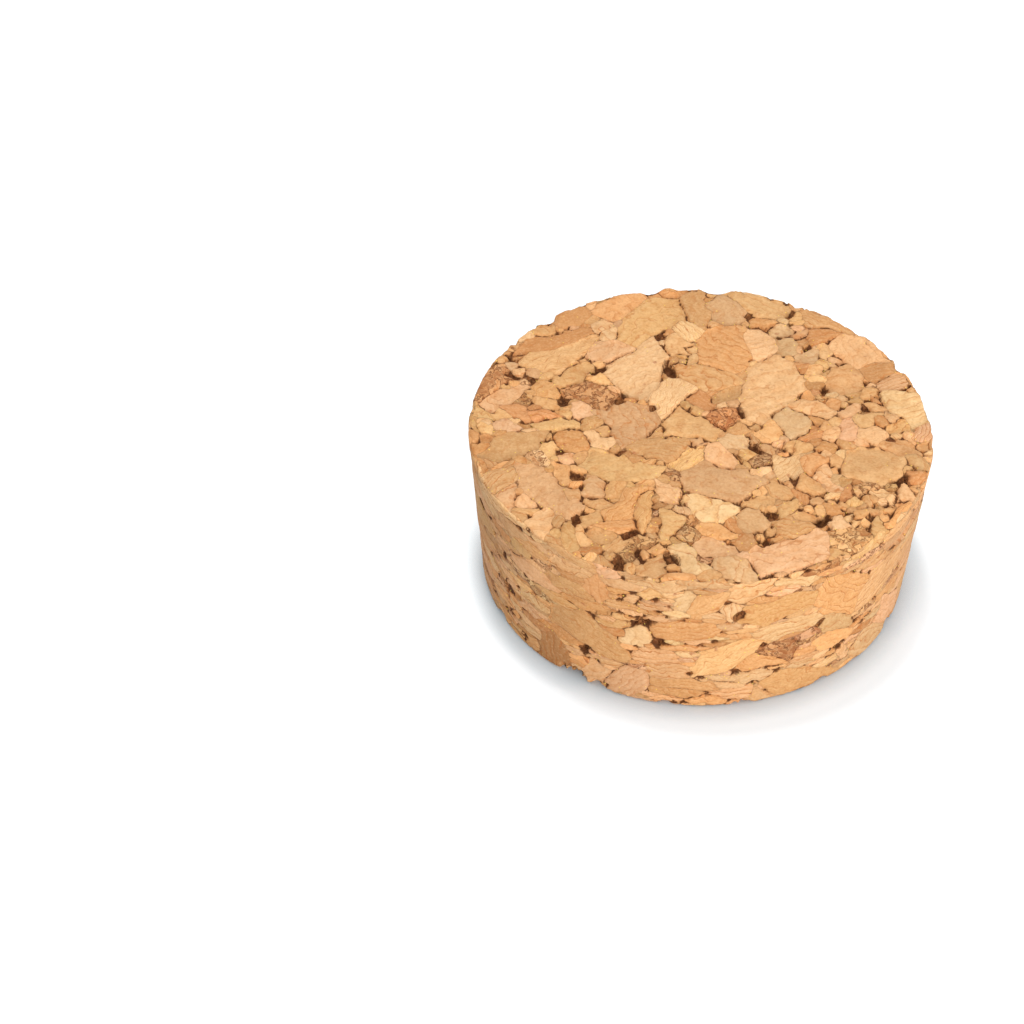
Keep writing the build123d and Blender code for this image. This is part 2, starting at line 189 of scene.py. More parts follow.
# Granules of the wide face, traced from the photograph: tone, figure, outline in pixels
TOP_FLAKES = [
    ("khaki", FLAT, [
        (616, 331), (629, 311), (647, 296), (675, 295), (684, 318), (656, 334), (633, 347), (618, 340),
    ]),
    ("pale", FLAT, [
        (603, 372), (609, 361), (639, 348), (656, 335), (668, 354), (658, 383), (647, 399), (620, 391),
    ]),
    ("brown", STRIPED, [
        (510, 352), (524, 340), (559, 332), (591, 328), (598, 334), (576, 341), (550, 349), (524, 352),
    ]),
    ("honey", STRIPED, [
        (515, 360), (526, 351), (566, 345), (594, 332), (601, 335), (574, 362), (559, 374), (523, 367),
    ]),
    ("olive", FLAT, [(550, 380), (561, 372), (588, 358), (593, 366), (582, 380), (559, 386)]),
    ("bark", ROUGH, [
        (556, 388), (572, 382), (591, 380), (617, 394), (605, 410), (593, 404), (582, 396), (564, 396),
    ]),
    ("peach", FLAT, [
        (591, 409), (610, 410), (628, 399), (653, 407), (661, 420), (647, 436), (623, 447), (609, 428),
    ]),
    ("pink", FLAT, [
        (569, 409), (574, 401), (585, 399), (591, 405), (590, 413), (582, 418), (572, 417),
    ]),
    ("cream", STRIPED, [
        (647, 397), (669, 378), (682, 378), (693, 388), (676, 405), (661, 420), (656, 407),
    ]),
    ("honey", FLAT, [
        (661, 423), (679, 405), (706, 417), (722, 431), (714, 440), (693, 436), (666, 434),
    ]),
    ("olive", STRIPED, [
        (625, 445), (642, 437), (676, 435), (693, 441), (682, 453), (668, 461), (636, 453),
    ]),
    ("yellow", FLAT, [
        (578, 464), (593, 447), (623, 452), (631, 461), (666, 466), (661, 476), (642, 480), (607, 479),
    ]),
    ("yellow", STRIPED, [(666, 463), (692, 447), (707, 444), (706, 453), (693, 466), (676, 468)]),
    ("pale", FLAT, [
        (586, 433), (596, 428), (602, 436), (612, 436), (612, 445), (604, 447), (594, 444),
    ]),
    ("brown", FLAT, [
        (554, 433), (564, 429), (580, 431), (591, 442), (585, 449), (569, 449), (559, 444),
    ]),
    ("rust", FLAT, [(503, 405), (516, 402), (527, 409), (529, 418), (523, 420), (510, 413)]),
    ("tan", FLAT, [(532, 396), (546, 398), (556, 402), (559, 409), (546, 407), (534, 402)]),
    ("orange", FLAT, [
        (534, 380), (545, 380), (558, 390), (559, 396), (550, 398), (535, 394), (531, 385),
    ]),
    ("brown", FLAT, [(549, 320), (559, 309), (580, 303), (588, 313), (582, 324), (559, 327)]),
    ("tan", FLAT, [(530, 330), (540, 321), (553, 323), (554, 331), (545, 334), (534, 335)]),
    ("orange", FLAT, [
        (590, 310), (602, 301), (629, 286), (644, 288), (648, 299), (625, 318), (612, 321), (594, 316),
    ]),
    ("orange", FLAT, [(646, 290), (656, 286), (659, 292), (650, 295)]),
    ("tan", FLAT, [(682, 297), (688, 290), (706, 288), (704, 305), (715, 311), (707, 329), (690, 319)]),
    ("cream", STRIPED, [
        (672, 326), (679, 320), (693, 321), (704, 329), (701, 337), (690, 340), (677, 334),
    ]),
    ("grey", FLAT, [(668, 337), (676, 332), (693, 343), (685, 347), (688, 353), (669, 353)]),
    ("orange", FLAT, [
        (696, 339), (711, 326), (743, 323), (744, 339), (752, 356), (739, 372), (715, 367), (698, 361),
    ]),
    ("pale", FLAT, [
        (744, 334), (751, 326), (760, 324), (776, 340), (776, 350), (754, 359), (751, 350),
    ]),
    ("cream", FLAT, [
        (776, 339), (784, 334), (794, 335), (800, 342), (795, 350), (787, 354), (778, 351),
    ]),
    ("pale", FLAT, [(770, 326), (779, 322), (790, 324), (794, 331), (784, 334), (773, 333)]),
    ("grey", FLAT, [
        (706, 307), (717, 295), (727, 295), (738, 300), (747, 311), (743, 319), (723, 323), (712, 316),
    ]),
    ("honey", FLAT, [
        (729, 294), (733, 290), (759, 292), (789, 302), (792, 310), (779, 316), (754, 313), (743, 305),
    ]),
    ("orange", STRIPED, [(751, 316), (771, 318), (779, 319), (765, 327), (749, 323)]),
    ("olive", STRIPED, [
        (802, 307), (818, 309), (843, 320), (858, 331), (843, 331), (830, 326), (814, 327), (805, 323),
    ]),
    ("rust", STRIPED, [
        (808, 329), (830, 327), (843, 332), (838, 337), (825, 340), (813, 345), (806, 337),
    ]),
    ("peach", FLAT, [
        (830, 345), (843, 332), (864, 337), (862, 343), (892, 359), (870, 361), (856, 366), (833, 354),
    ]),
    ("orange", STRIPED, [
        (857, 367), (873, 361), (892, 361), (900, 366), (889, 372), (875, 380), (864, 374),
    ]),
    ("pink", STRIPED, [(878, 382), (889, 375), (908, 371), (918, 382), (902, 385), (883, 391)]),
    ("tan", FLAT, [(829, 369), (843, 364), (857, 369), (865, 382), (859, 390), (846, 393), (830, 388)]),
    ("peach", FLAT, [
        (742, 386), (751, 366), (779, 353), (802, 374), (805, 391), (779, 410), (765, 421), (743, 415),
    ]),
    ("tan", FLAT, [
        (672, 364), (703, 366), (739, 377), (744, 382), (715, 388), (703, 391), (690, 383), (680, 374),
    ]),
    ("olive", FLAT, [(712, 394), (725, 388), (742, 385), (735, 396), (722, 401), (714, 401)]),
    ("rust", STRIPED, [(690, 394), (700, 391), (711, 396), (717, 405), (706, 409), (690, 402)]),
    ("rust", ROUGH, [
        (706, 415), (717, 409), (733, 405), (743, 413), (735, 423), (722, 426), (712, 425),
    ]),
    ("tan", FLAT, [(754, 434), (765, 420), (770, 418), (784, 431), (781, 439), (763, 442)]),
    ("pale", FLAT, [
        (773, 413), (786, 407), (802, 410), (814, 421), (808, 433), (792, 437), (784, 428),
    ]),
    ("peach", FLAT, [
        (786, 402), (802, 398), (822, 401), (838, 410), (825, 417), (811, 410), (798, 409),
    ]),
    ("cream", FLAT, [
        (880, 394), (896, 388), (918, 391), (926, 405), (928, 420), (913, 429), (907, 413), (889, 412),
    ]),
    ("pink", FLAT, [(840, 423), (851, 417), (857, 428), (856, 441), (844, 438)]),
    ("peach", FLAT, [(859, 429), (878, 423), (889, 431), (884, 439), (875, 442), (861, 436)]),
    ("honey", FLAT, [
        (840, 466), (849, 450), (870, 444), (891, 449), (907, 461), (896, 479), (881, 485), (848, 476),
    ]),
    ("pink", STRIPED, [(913, 439), (916, 429), (929, 423), (931, 437), (921, 441)]),
    ("brown", STRIPED, [(907, 469), (929, 469), (924, 482), (910, 482)]),
    ("peach", FLAT, [(899, 492), (905, 482), (918, 492), (913, 500), (900, 501)]),
    ("tan", FLAT, [(794, 485), (803, 472), (825, 492), (816, 495)]),
    ("peach", FLAT, [(811, 472), (822, 461), (832, 469), (830, 484), (825, 488)]),
    ("orange", FLAT, [(802, 455), (814, 452), (830, 458), (821, 463), (810, 472), (803, 466)]),
    ("slate", ROUGH, [(755, 444), (778, 444), (786, 447), (770, 452), (755, 449)]),
    ("slate", ROUGH, [(747, 458), (759, 453), (771, 455), (767, 464), (754, 466)]),
    ("cream", FLAT, [(722, 439), (727, 434), (752, 436), (749, 447), (725, 445)]),
    ("grey", FLAT, [
        (680, 468), (700, 461), (743, 469), (768, 482), (754, 489), (739, 503), (700, 492), (684, 488),
    ]),
    ("cream", FLAT, [(680, 499), (684, 490), (700, 492), (739, 504), (725, 520), (699, 518)]),
    ("grey", FLAT, [
        (738, 512), (747, 505), (763, 509), (770, 520), (763, 531), (746, 533), (738, 525),
    ]),
    ("pink", FLAT, [
        (751, 552), (759, 544), (786, 540), (815, 527), (826, 533), (832, 556), (797, 568), (761, 575),
    ]),
    ("orange", STRIPED, [
        (601, 513), (618, 498), (632, 486), (655, 486), (639, 491), (634, 504), (631, 515), (607, 520),
    ]),
    ("orange", STRIPED, [(588, 528), (607, 521), (632, 517), (636, 525), (620, 531), (593, 527)]),
    ("tan", STRIPED, [
        (636, 512), (637, 499), (642, 493), (650, 490), (652, 499), (650, 520), (644, 533), (636, 525),
    ]),
    ("yellow", FLAT, [
        (661, 507), (672, 510), (687, 517), (674, 528), (671, 541), (663, 544), (660, 531),
    ]),
    ("slate", ROUGH, [(677, 528), (688, 521), (699, 529), (701, 536), (690, 541), (679, 536)]),
    ("peach", FLAT, [
        (693, 544), (701, 534), (719, 539), (736, 544), (741, 552), (723, 557), (701, 555),
    ]),
    ("orange", FLAT, [(695, 523), (714, 521), (734, 531), (738, 537), (719, 537), (701, 531)]),
    ("cream", FLAT, [
        (666, 547), (687, 541), (690, 550), (699, 558), (711, 569), (699, 572), (685, 569), (679, 558),
    ]),
    ("pale", FLAT, [
        (711, 560), (725, 557), (744, 557), (752, 564), (760, 577), (744, 582), (725, 576), (715, 569),
    ]),
    ("tan", FLAT, [(585, 531), (596, 526), (618, 536), (610, 541), (594, 539)]),
    ("olive", ROUGH, [(624, 544), (634, 541), (637, 555), (629, 562), (623, 557)]),
    ("khaki", FLAT, [(564, 523), (572, 520), (577, 544), (569, 553), (562, 544)]),
    ("peach", FLAT, [(585, 474), (605, 479), (605, 492), (591, 496), (584, 492)]),
    ("tan", FLAT, [(609, 484), (621, 479), (629, 482), (617, 495), (605, 496)]),
    ("slate", ROUGH, [(666, 471), (674, 467), (685, 472), (680, 479), (671, 479)]),
    ("honey", FLAT, [(562, 488), (578, 487), (580, 496), (569, 501)]),
    ("honey", FLAT, [(542, 441), (558, 437), (558, 450), (551, 458), (543, 450)]),
    ("yellow", FLAT, [(529, 423), (558, 418), (582, 421), (580, 428), (556, 429), (534, 428)]),
    ("rust", STRIPED, [(529, 409), (545, 410), (564, 417), (534, 418)]),
    ("pink", FLAT, [(559, 453), (572, 452), (575, 461), (566, 464), (559, 460)]),
    ("tan", FLAT, [(554, 461), (572, 466), (570, 479), (562, 485), (556, 474)]),
    ("orange", STRIPED, [(888, 524), (894, 513), (914, 498), (907, 509), (891, 527)]),
]

# Strips of the wall, traced in the same way
WALL_STRIPS = [
    ("cream", FLAT, [
        (620, 641), (629, 631), (639, 625), (648, 633), (652, 641), (636, 646), (626, 644),
    ]),
    ("orange", STRIPED, [
        (652, 625), (675, 623), (704, 622), (723, 630), (706, 639), (668, 641), (656, 639),
    ]),
    ("peach", STRIPED, [(634, 655), (642, 649), (664, 649), (675, 654), (679, 663), (642, 665)]),
    ("peach", STRIPED, [(644, 666), (680, 663), (691, 673), (683, 679), (652, 678)]),
    ("honey", STRIPED, [
        (691, 668), (701, 652), (747, 639), (771, 641), (758, 649), (731, 667), (715, 676), (693, 678),
    ]),
    ("orange", STRIPED, [
        (743, 621), (746, 611), (789, 595), (818, 592), (810, 605), (789, 615), (762, 626),
    ]),
    ("pale", STRIPED, [
        (754, 634), (767, 627), (802, 615), (818, 615), (815, 626), (789, 635), (770, 642), (757, 639),
    ]),
    ("pale", FLAT, [(724, 615), (727, 605), (737, 605), (740, 613), (732, 621)]),
    ("tan", STRIPED, [
        (691, 604), (703, 596), (738, 590), (739, 598), (723, 606), (707, 615), (693, 619),
    ]),
    ("grey", STRIPED, [(718, 600), (737, 584), (780, 578), (764, 595), (741, 605)]),
    ("orange", STRIPED, [
        (818, 592), (828, 578), (853, 572), (872, 575), (859, 594), (853, 613), (823, 613),
    ]),
    ("peach", STRIPED, [
        (856, 600), (872, 572), (888, 556), (901, 549), (891, 572), (879, 591), (859, 610),
    ]),
    ("grey", STRIPED, [(821, 627), (828, 616), (850, 615), (856, 621), (834, 631)]),
    ("orange", FLAT, [(812, 643), (828, 631), (851, 627), (850, 634), (837, 646), (821, 651)]),
    ("orange", STRIPED, [(737, 669), (749, 656), (775, 658), (789, 664), (767, 667), (743, 672)]),
    ("tan", STRIPED, [
        (761, 683), (777, 672), (805, 666), (843, 669), (818, 683), (789, 696), (769, 693),
    ]),
    ("grey", FLAT, [(749, 701), (754, 683), (769, 693), (789, 696), (777, 701), (761, 704)]),
    ("orange", FLAT, [(683, 702), (703, 695), (715, 695), (725, 702), (723, 708), (699, 710)]),
    ("pink", FLAT, [
        (605, 681), (615, 671), (629, 668), (642, 673), (647, 687), (629, 698), (610, 692),
    ]),
    ("peach", FLAT, [(578, 671), (593, 662), (610, 671), (609, 678), (599, 686), (585, 681)]),
    ("tan", STRIPED, [
        (550, 604), (583, 611), (607, 633), (629, 655), (626, 663), (593, 652), (569, 631), (550, 623),
    ]),
    ("pink", FLAT, [(596, 569), (602, 563), (617, 566), (618, 576), (607, 579)]),
    ("orange", FLAT, [(583, 579), (596, 574), (604, 582), (610, 598), (602, 604), (588, 595)]),
    ("brown", FLAT, [(540, 631), (553, 633), (567, 652), (570, 665), (561, 668), (540, 654)]),
    ("peach", FLAT, [(621, 600), (629, 595), (640, 601), (634, 606)]),
    ("honey", FLAT, [(636, 595), (652, 590), (663, 595), (652, 601)]),
    ("pale", FLAT, [(671, 608), (679, 598), (693, 592), (696, 598), (691, 606), (680, 611)]),
    ("tan", STRIPED, [(652, 679), (680, 679), (715, 684), (717, 690), (680, 689), (652, 684)]),
    ("bark", ROUGH, [(753, 653), (770, 643), (796, 640), (799, 648), (789, 661), (775, 656)]),
    ("pink", FLAT, [(875, 621), (885, 595), (898, 588), (896, 603), (888, 619)]),
    ("cream", FLAT, [
        (859, 635), (869, 624), (886, 623), (890, 629), (875, 643), (859, 656), (850, 658),
    ]),
    ("pale", STRIPED, [(837, 656), (843, 643), (848, 648), (843, 661)]),
]

# How the granules are laid out. FAR stands for a distance that nothing reaches, and NEAR is how
# far past its outline a granule may still show.
SEED = 11
FAR = 99.0
NEAR = 2.2
NOISE_CELLS = 512
SAMPLE_STEP = 0.4
RIM_WANDER = 0.75
WALL_STRETCH = 2.7
PIT_SIZE = 0.44
ROUGH_SHARE = 0.05
FACE_STRIPED_SHARE = 0.3
WALL_STRIPED_SHARE = 0.8

# The smallest and the broadest radius of the granules that fill the gaps
TOP_SIZES = (0.7, 2.6)
WALL_SIZES = (0.45, 1.35)
BASE_SIZES = (0.65, 3.8)

# How the outlines wander, coarse and fine: the size of a bend, and how far it goes
TOP_RAGGED = ((2.4, 0.34), (0.75, 0.13))
WALL_RAGGED = ((2.6, 0.26), (0.75, 0.10))

# How deep an open joint goes, and how deep and wide the rounded edge of any joint is
FACE_JOINT_DEPTH = 0.75
WALL_JOINT_DEPTH = 0.35
FACE_EDGE_DEPTH = 0.14
WALL_EDGE_DEPTH = 0.08
EDGE_WIDTH = 0.42


def signed_distance(points, outline):
    """How far each point lies outside a closed outline, below 0 inside it."""
    start = outline
    end = np.roll(outline, -1, axis=0)
    edge = end - start
    away = points[:, None] - start
    share = np.clip((away * edge).sum(2) / (edge**2).sum(1), 0, 1)
    gap = np.linalg.norm(away - share[..., None] * edge, axis=2).min(1)
    across, up = points[:, :1], points[:, 1:]
    passes = (start[:, 1] > up) != (end[:, 1] > up)
    slope = edge[:, 0] / np.where(edge[:, 1] == 0, 1e-9, edge[:, 1])
    left = across < start[:, 0] + (up - start[:, 1]) * slope
    inside = (passes & left).sum(1) % 2 == 1
    return np.where(inside, -gap, gap)


def ripple(spots, size, seed, lap=None):
    """Smooth noise from -1 to 1 over flat spots, size apart, that closes on itself round a lap."""
    grid = np.random.default_rng(seed).uniform(-1, 1, (NOISE_CELLS, NOISE_CELLS))
    cells = max(1, round(lap / size)) if lap else NOISE_CELLS
    place = spots / (lap / cells if lap else size, size)
    cell = np.floor(place).astype(int)
    part = place - cell
    part = part * part * (3 - 2 * part)
    left, right = cell[:, 0] % cells, (cell[:, 0] + 1) % cells
    low, high = cell[:, 1] % NOISE_CELLS, (cell[:, 1] + 1) % NOISE_CELLS
    near = grid[left, low] * (1 - part[:, 0]) + grid[right, low] * part[:, 0]
    far = grid[left, high] * (1 - part[:, 0]) + grid[right, high] * part[:, 0]
    return near * (1 - part[:, 1]) + far * part[:, 1]


class Granule:
    """One granule where it shows on a skin: its centre, outline about it, tone and figure."""

    def __init__(self, outline, tone, figure):
        self.centre = outline.mean(axis=0)
        self.outline = outline - self.centre
        self.half = np.abs(self.outline).max(axis=0)
        self.tone = tone
        self.figure = figure


class Skin:
    """The granules over one side of the stopper, laid out flat. The wall's layout is squeezed
    lengthwise, so that even shapes in it come out as long strips."""

    def __init__(self, lap, stretch, ragged, shares):
        self.lap = lap
        self.stretch = np.array([stretch, 1.0])
        self.ragged = ragged
        self.shares = shares
        self.granules = []
        self.kept = 0

    def away(self, spots, centre):
        gap = spots - centre
        if self.lap:
            lap = self.lap / self.stretch[0]
            gap[:, 0] -= lap * np.round(gap[:, 0] / lap)
        return gap

    def keep(self, outline, tone, figure):
        """Adds a granule whose outline nothing overlaps."""
        self.granules.append(Granule(outline / self.stretch, tone, figure))
        self.kept += 1

    def add_pits(self, pits, dice):
        for x, y, width in pits:
            centre = np.array([math.radians(x) * MEAN_RADIUS if self.lap else x, y])
            outline = rough_outline(width * PIT_SIZE, dice.uniform(1.6, 3.2), dice)
            self.keep(turned(outline, dice.uniform(0, math.pi)) + centre, "pit", ROUGH)

    def trace(self, traced, place):
        for tone, figure, pixels in traced:
            self.keep(place(pixels), tone, figure)

    def fill(self, samples, smallest, broadest, dice):
        """Covers what is left with granules, in some places broad ones and in others crumbs."""
        names = list(self.shares)
        weights = np.array([self.shares[name] for name in names], float)
        weights /= weights.sum()
        zone = np.clip(0.5 + 1.3 * ripple(samples, 8.0, SEED + 5, self.lap), 0, 1)
        limit = smallest + (broadest - smallest) * zone
        samples = samples / self.stretch
        clear = np.full(len(samples), FAR)
        for granule in self.granules:
            clear = np.minimum(clear, signed_distance(self.away(samples, granule.centre), granule.outline))
        while True:
            usable = np.minimum(clear, limit)
            widest = usable.max()
            if widest < smallest * 0.7:
                break
            pick = dice.choice(np.flatnonzero(usable > widest * 0.8))
            radius = usable[pick] * dice.uniform(1.0, 2.0)
            tilt = dice.normal(0, 0.25) if self.lap else dice.uniform(0, math.pi)
            outline = turned(rough_outline(radius, dice.uniform(1.0, 2.4), dice), tilt)
            striped = dice.random() < (WALL_STRIPED_SHARE if self.lap else FACE_STRIPED_SHARE)
            figure = ROUGH if dice.random() < ROUGH_SHARE else STRIPED if striped else FLAT
            tone = names[dice.choice(len(names), p=weights)]
            granule = Granule(outline + samples[pick], tone, figure)
            self.granules.append(granule)
            away = self.away(samples, granule.centre)
            near = np.flatnonzero((np.abs(away) < granule.half + broadest).all(axis=1))
            clear[near] = np.minimum(clear[near], signed_distance(away[near], granule.outline))
            clear[pick] = min(clear[pick], 0)

    def granule_at(self, spots):
        """The granule that shows at each spot: the one that reaches furthest over it."""
        for turn, (size, amount) in enumerate(self.ragged):
            bend = [ripple(spots, size, SEED + 10 * turn + axis, self.lap) for axis in (0, 1)]
            spots = spots + amount * np.stack(bend, axis=1)
        spots = spots / self.stretch
        best = np.full(len(spots), FAR)
        who = np.zeros(len(spots), int)
        for index, granule in enumerate(self.granules):
            if index == self.kept:
                kept_gap = best.copy()
            away = self.away(spots, granule.centre)
            near = np.flatnonzero((np.abs(away) < granule.half + NEAR).all(axis=1))
            gap = signed_distance(away[near], granule.outline)
            if index >= self.kept:
                gap = np.maximum(gap, -kept_gap[near])
            closer = gap < best[near]
            best[near[closer]] = gap[closer]
            who[near[closer]] = index
        return who


def turned(outline, angle):
    return outline @ [[math.cos(angle), math.sin(angle)], [-math.sin(angle), math.cos(angle)]]


def rough_outline(radius, aspect, dice):
    """An uneven outline of a few corners about the origin, drawn longer one way than the other."""
    corners = dice.integers(4, 8)
    turn = (np.arange(corners) + dice.uniform(-0.35, 0.35, corners)) * 2 * math.pi / corners
    reach = radius * dice.uniform(0.6, 1.25, corners)
    long = math.sqrt(aspect)
    return np.stack([np.cos(turn) * reach * long, np.sin(turn) * reach / long], axis=1)


def disc_samples(radius):
    line = np.arange(-radius, radius, SAMPLE_STEP)
    spots = np.stack(np.meshgrid(line, line), axis=2).reshape(-1, 2)
    return spots[np.hypot(*spots.T) < radius]


def wall_samples():
    way = np.arange(-GIRTH / 2, GIRTH / 2, SAMPLE_STEP)
    up = np.arange(0, HEIGHT, SAMPLE_STEP)
    return np.stack(np.meshgrid(way, up), axis=2).reshape(-1, 2)


def lay_granules():
    dice = np.random.default_rng(SEED)
    top = Skin(None, 1.0, TOP_RAGGED, TOP_SHARES)
    top.add_pits(TOP_PITS, dice)
    top.trace(TOP_FLAKES, on_top)
    top.fill(disc_samples(TOP_RADIUS), *TOP_SIZES, dice)
    wall = Skin(GIRTH, WALL_STRETCH, WALL_RAGGED, WALL_SHARES)
    wall.add_pits(WALL_PITS, dice)
    wall.trace(WALL_STRIPS, on_wall)
    wall.fill(wall_samples(), *WALL_SIZES, dice)
    base = Skin(None, 1.0, TOP_RAGGED, TOP_SHARES)
    base.add_pits(BASE_PITS, dice)
    base.fill(disc_samples(BASE_RADIUS), *BASE_SIZES, dice)
    return [top, wall, base]


TOP, WALL, BASE = 0, 1, 2


def deselect():
    for item in bpy.context.selected_objects:
        item.select_set(False)


def turned_body():
    """The smooth tapered body with its rims just broken, meshed evenly all over."""
    bpy.ops.mesh.primitive_cone_add(
        vertices=360,
        radius1=BASE_RADIUS * MM,
        radius2=TOP_RADIUS * MM,
        depth=HEIGHT * MM,
        location=(0, 0, HEIGHT * MM / 2),
    )
    body = bpy.context.object
    bpy.ops.object.transform_apply()
    bpy.ops.object.mode_set(mode="EDIT")
    bpy.ops.mesh.select_all(action="DESELECT")
    bpy.ops.object.mode_set(mode="OBJECT")
    for edge in body.data.edges:
        first, last = (body.data.vertices[v].co.z for v in edge.vertices)
        edge.select = abs(first - last) < MM * RIM_ROUND
    bpy.ops.object.mode_set(mode="EDIT")
    bpy.ops.mesh.bevel(offset=RIM_ROUND * MM, segments=3)
    bpy.ops.object.mode_set(mode="OBJECT")
    remesh = body.modifiers.new("even_mesh", "REMESH")
    remesh.mode = "VOXEL"
    remesh.voxel_size = MESH_STEP * MM
    bpy.ops.object.modifier_apply(modifier=remesh.name)
    return body


def mesh_arrays(mesh):
    points = np.zeros(len(mesh.vertices) * 3)
    mesh.vertices.foreach_get("co", points)
    normals = np.zeros(len(mesh.vertices) * 3)
    mesh.vertices.foreach_get("normal", normals)
    quads = np.zeros(len(mesh.loops), int)
    mesh.loops.foreach_get("vertex_index", quads)
    edges = np.zeros(len(mesh.edges) * 2, int)
    mesh.edges.foreach_get("vertices", edges)
    return points.reshape(-1, 3) / MM, normals.reshape(-1, 3), quads.reshape(-1, 4), edges.reshape(-1, 2)


def which_skin(points, wander=0.0):
    """The side that each point lies on. With some wander, granules reach over the rims."""
    radius = np.hypot(points[:, 0], points[:, 1])
    way = unrolled(points) * (1, 0)
    sway = wander * (ripple(way, 3.2, SEED + 30, GIRTH) + 0.6 * ripple(way, 1.1, SEED + 31, GIRTH))
    gaps = [HEIGHT - points[:, 2] + sway, wall_radius(points[:, 2]) - radius, points[:, 2] - sway]
    return np.argmin(gaps, axis=0)


class Pattern:
    """Which granule shows at each point of the surface, over all three skins."""

    def __init__(self, skins):
        self.skins = skins
        self.first = np.cumsum([0] + [len(skin.granules) for skin in skins])
        self.granules = [granule for skin in skins for granule in skin.granules]

    def at(self, points):
        skin = which_skin(points, RIM_WANDER)
        who = np.zeros(len(points), int)
        for index, layer in enumerate(self.skins):
            mine = np.flatnonzero(skin == index)
            spots = unrolled(points[mine]) if index == WALL else points[mine, :2]
            who[mine] = layer.granule_at(spots) + self.first[index]
        return who


def snap_to_joints(points, edges, pattern):
    """Moves each point that has a joint close by onto that joint."""
    label = pattern.at(points)
    cut = edges[label[edges[:, 0]] != label[edges[:, 1]]]
    start, end = points[cut[:, 0]], points[cut[:, 1]]
    low, high = np.zeros(len(cut)), np.ones(len(cut))
    for _ in range(6):
        middle = (low + high) / 2
        same = pattern.at(start + (end - start) * middle[:, None]) == label[cut[:, 0]]
        low = np.where(same, middle, low)
        high = np.where(same, high, middle)
    share = (low + high) / 2
    spot = start + (end - start) * share[:, None]
    nearer = np.where(share < 0.5, cut[:, 0], cut[:, 1])
    farthest_first = np.argsort(-np.minimum(share, 1 - share))
    moved = points.copy()
    moved[nearer[farthest_first]] = spot[farthest_first]
    on_joint = np.zeros(len(points), bool)
    on_joint[nearer] = True
    return moved, on_joint, label


def split_quads(points, quads, on_joint, label):
    """Cuts each four-sided face in two, along the joint where one runs through it."""
    a, b, c, d = quads.T
    joint_ac = on_joint[a] & on_joint[c] & (label[b] != label[d])
    joint_bd = on_joint[b] & on_joint[d] & (label[a] != label[c])
    shorter = np.linalg.norm(points[a] - points[c], axis=1) <= np.linalg.norm(points[b] - points[d], axis=1)
    along_ac = np.where(joint_ac ^ joint_bd, joint_ac, shorter)[:, None]
    one = np.where(along_ac, np.stack([a, b, c], 1), np.stack([a, b, d], 1))
    two = np.where(along_ac, np.stack([a, c, d], 1), np.stack([b, c, d], 1))
    return np.concatenate([one, two])


def joint_edges(triangles, owner):
    """The edges that part two granules, and those granules."""
    sides = np.concatenate([triangles[:, [0, 1]], triangles[:, [1, 2]], triangles[:, [2, 0]]])
    sides.sort(axis=1)
    face = np.tile(np.arange(len(triangles)), 3)
    order = np.lexsort((sides[:, 1], sides[:, 0]))
    sides, face = sides[order], face[order]
    twin = np.flatnonzero((sides[1:] == sides[:-1]).all(axis=1))
    one, two = owner[face[twin]], owner[face[twin + 1]]
    part = one != two
    return sides[twin[part]], np.stack([one[part], two[part]], axis=1)


class Finish:
    """Each granule's own height, tilt, looseness, colour and figure."""

    def __init__(self, pattern, dice):
        granules = pattern.granules
        count = len(granules)
        self.skin = np.repeat([TOP, WALL, BASE], np.diff(pattern.first))
        on_face = self.skin != WALL
        self.pit = np.array([granule.tone == "pit" for granule in granules])
        self.sink = np.abs(dice.normal(0, 0.15, count)) * np.where(on_face, 1.0, 0.4)
        low = dice.random(count) < np.where(on_face, 0.16, 0.06)
        self.sink += low * dice.uniform(0.15, 0.45, count)
        self.size = np.array([granule.half.mean() for granule in granules])
        self.sink[self.pit] = np.clip(self.size[self.pit] * 1.4, 0.8, 1.5)
        self.tilt = dice.normal(0, 0.065, (count, 2)) * np.where(on_face, 1.0, 0.35)[:, None]
        self.tilt[self.pit] = 0
        self.loose = dice.random(count)
        self.luck = dice.random(count)
        stretch = np.array([pattern.skins[skin].stretch for skin in self.skin])
        self.centre = np.array([granule.centre for granule in granules]) * stretch
        self.colour = np.array([self.tint(granule, dice) for granule in granules])
        outlines = [granule.outline * s for granule, s in zip(granules, stretch)]
        self.grain = np.array([self.laminations(*each, dice) for each in zip(granules, outlines, self.skin)])
        self.striped = np.array([granule.figure == STRIPED for granule in granules], float)
        self.rough = np.array([granule.figure == ROUGH for granule in granules], float)

    def tint(self, granule, dice):
        colour = (np.array(TONES[granule.tone]) / 255) ** GAMMA
        return colour * (1 + dice.normal(0, 0.085)) * (1 + dice.normal(0, 0.012, 3))

    def laminations(self, granule, outline, skin, dice):
        """The direction across the cork's growth lines, as long as there are lines in a millimetre."""
        along = np.linalg.eigh(np.cov(outline.T))[1][:, 1]
        across = np.array([-along[1], along[0]])
        if skin == WALL:
            turn = granule.centre[0] / MEAN_RADIUS
            tangent = np.array([math.cos(turn), math.sin(turn), 0])
            direction = tangent * across[0] + np.array([0, 0, 1]) * across[1]
            return direction * dice.uniform(0.6, 1.3)
        if granule.figure == STRIPED:
            return np.array([across[0], across[1], 0.3]) * dice.uniform(0.8, 1.6)
        turn = dice.uniform(0, 2 * math.pi)
        lean = dice.uniform(0.25, 0.6)
        return np.array([math.cos(turn) * lean, math.sin(turn) * lean, 1]) * dice.uniform(1.0, 1.7)


